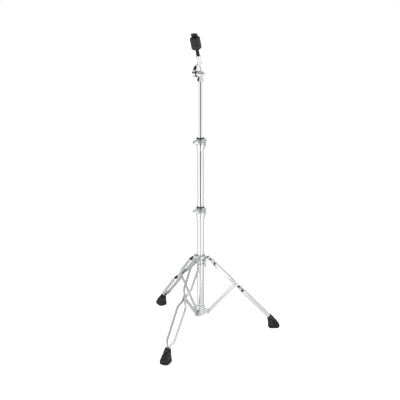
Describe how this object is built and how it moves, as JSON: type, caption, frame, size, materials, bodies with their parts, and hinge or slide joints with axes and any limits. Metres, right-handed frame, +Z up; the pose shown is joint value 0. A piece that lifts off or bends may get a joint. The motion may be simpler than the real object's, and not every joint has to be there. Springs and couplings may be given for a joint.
{
  "type": "straight cymbal stand",
  "caption": "Chromed straight cymbal stand: telescoping tubes with clamps on a folding double-braced tripod with rubber boots, a tilter and felts under a wing nut.",
  "frame": {"origin": "centre of the footprint of the whole stand, on the floor", "axes": "+Z up along the tubes, +X and +Y level; leg C points nearly along +X"},
  "size_m": [0.4936, 0.5412, 1.1151],
  "materials": {
    "chrome": "polished chrome plate",
    "steel": "plain zinc grey",
    "rubber": "matt moulded",
    "nylon": "satin moulded",
    "felt": "pressed felt"
  },
  "bodies": {
    "base": {"base_tube": "chrome", "base_end_plug": "nylon", "lower_hub": "chrome", "base_clamp": "chrome", "base_clamp_bushing": "nylon", "base_clamp_nut": "steel", "rivet_a_lower": "steel", "rivet_b_lower": "steel", "rivet_c_lower": "steel"},
    "leg_collar": {"leg_collar": "chrome", "leg_collar_bushing": "nylon", "rivet_a_upper": "steel", "rivet_b_upper": "steel", "rivet_c_upper": "steel"},
    "leg_collar_bolt": {"leg_collar_wing_bolt": "chrome"},
    "base_clamp_bolt": {"base_clamp_wing_bolt": "chrome"},
    "middle": {"middle_tube": "chrome", "middle_clamp": "chrome", "middle_clamp_bushing": "nylon", "middle_clamp_nut": "steel"},
    "middle_clamp_bolt": {"middle_clamp_wing_bolt": "chrome"},
    "upper": {"upper_tube": "chrome", "tilter_base": "chrome", "tilter_brake_ring": "nylon"},
    "tilter_bolt": {"tilter_wing_bolt": "chrome"},
    "tilter_head": {"tilter_head": "chrome", "tilter_nut": "steel", "cymbal_rod": "steel", "cymbal_sleeve": "nylon", "cymbal_seat": "nylon", "lower_felt": "felt", "upper_felt": "felt"},
    "top_nut": {"wing_nut": "nylon"},
    "brace_a": {"brace_a": "chrome"},
    "leg_a": {"leg_a_strip_left": "chrome", "leg_a_strip_right": "chrome", "foot_a": "rubber", "foot_spacer_a": "steel", "rivet_a_mid": "steel", "rivet_a_foot": "steel"},
    "brace_b": {"brace_b": "chrome"},
    "leg_b": {"leg_b_strip_left": "chrome", "leg_b_strip_right": "chrome", "foot_b": "rubber", "foot_spacer_b": "steel", "rivet_b_mid": "steel", "rivet_b_foot": "steel"},
    "brace_c": {"brace_c": "chrome"},
    "leg_c": {"leg_c_strip_left": "chrome", "leg_c_strip_right": "chrome", "foot_c": "rubber", "foot_spacer_c": "steel", "rivet_c_mid": "steel", "rivet_c_foot": "steel"}
  },
  "joints": [
    {"name": "leg_fold", "type": "hinge", "parent": "base", "child": "brace_a", "pos_m": [-0.07725, 0.03622, 0.074], "axis": [-0.8211, -0.5707, 0], "range_deg": [-38, 12]},
    {"name": "leg_a_middle", "type": "hinge", "parent": "brace_a", "child": "leg_a", "pos_m": [-0.13696, 0.12214, 0.18426], "axis": [-0.8211, -0.5707, 0], "range_deg": [-24, 76]},
    {"name": "leg_a_upper", "type": "hinge", "parent": "leg_a", "child": "leg_collar", "pos_m": [-0.07725, 0.03622, 0.29451], "axis": [-0.8211, -0.5707, 0], "range_deg": [-38, 12]},
    {"name": "leg_b_upper", "type": "hinge", "parent": "leg_collar", "child": "leg_b", "pos_m": [-0.07297, -0.0147, 0.29451], "axis": [0.9048, -0.4258, 0], "range_deg": [-12, 38]},
    {"name": "brace_b_lower", "type": "hinge", "parent": "base", "child": "brace_b", "pos_m": [-0.07297, -0.0147, 0.074], "axis": [0.9048, -0.4258, 0], "range_deg": [-38, 12]},
    {"name": "leg_c_upper", "type": "hinge", "parent": "leg_collar", "child": "leg_c", "pos_m": [-0.03102, 0.01446, 0.29451], "axis": [-0.0837, 0.9965, 0], "range_deg": [-12, 38]},
    {"name": "brace_c_lower", "type": "hinge", "parent": "base", "child": "brace_c", "pos_m": [-0.03102, 0.01446, 0.074], "axis": [-0.0837, 0.9965, 0], "range_deg": [-38, 12]},
    {"name": "leg_collar_bolt_turn", "type": "hinge", "parent": "leg_collar", "child": "leg_collar_bolt", "pos_m": [-0.04569, -0.00919, 0.28901], "axis": [0.5707, -0.8211, 0], "range_deg": [-90, 90]},
    {"name": "base_clamp_bolt_turn", "type": "hinge", "parent": "base", "child": "base_clamp_bolt", "pos_m": [-0.05111, -0.0138, 0.4825], "axis": [1, 0, 0], "range_deg": [-90, 90]},
    {"name": "middle_height", "type": "slide", "parent": "base", "child": "middle", "axis": [0, 0, 1], "range_m": [-0.2, 0.115]},
    {"name": "middle_clamp_bolt_turn", "type": "hinge", "parent": "middle", "child": "middle_clamp_bolt", "pos_m": [-0.05111, -0.0138, 0.738], "axis": [1, 0, 0], "range_deg": [-90, 90]},
    {"name": "upper_height", "type": "slide", "parent": "middle", "child": "upper", "axis": [0, 0, 1], "range_m": [-0.185, 0.115]},
    {"name": "tilter_bolt_turn", "type": "hinge", "parent": "upper", "child": "tilter_bolt", "pos_m": [-0.05337, 0.0076, 0.976], "axis": [0.848, -0.5299, 0], "range_deg": [-90, 90]},
    {"name": "tilt", "type": "hinge", "parent": "upper", "child": "tilter_head", "pos_m": [-0.06041, 0.012, 0.976], "axis": [0.848, -0.5299, 0], "range_deg": [-110, 70]},
    {"name": "wing_nut_turn", "type": "hinge", "parent": "tilter_head", "child": "top_nut", "pos_m": [-0.08046, -0.02952, 1.10192], "axis": [-0.1812, -0.29, 0.9397], "continuous": true}
  ],
  "couplings": [
    {"joint": "leg_a_middle", "follows": "leg_fold", "ratio": -2},
    {"joint": "leg_a_upper", "follows": "leg_fold", "ratio": 1},
    {"joint": "leg_b_upper", "follows": "leg_fold", "ratio": -1},
    {"joint": "brace_b_lower", "follows": "leg_fold", "ratio": 1},
    {"joint": "leg_c_upper", "follows": "leg_fold", "ratio": -1},
    {"joint": "brace_c_lower", "follows": "leg_fold", "ratio": 1}
  ]
}
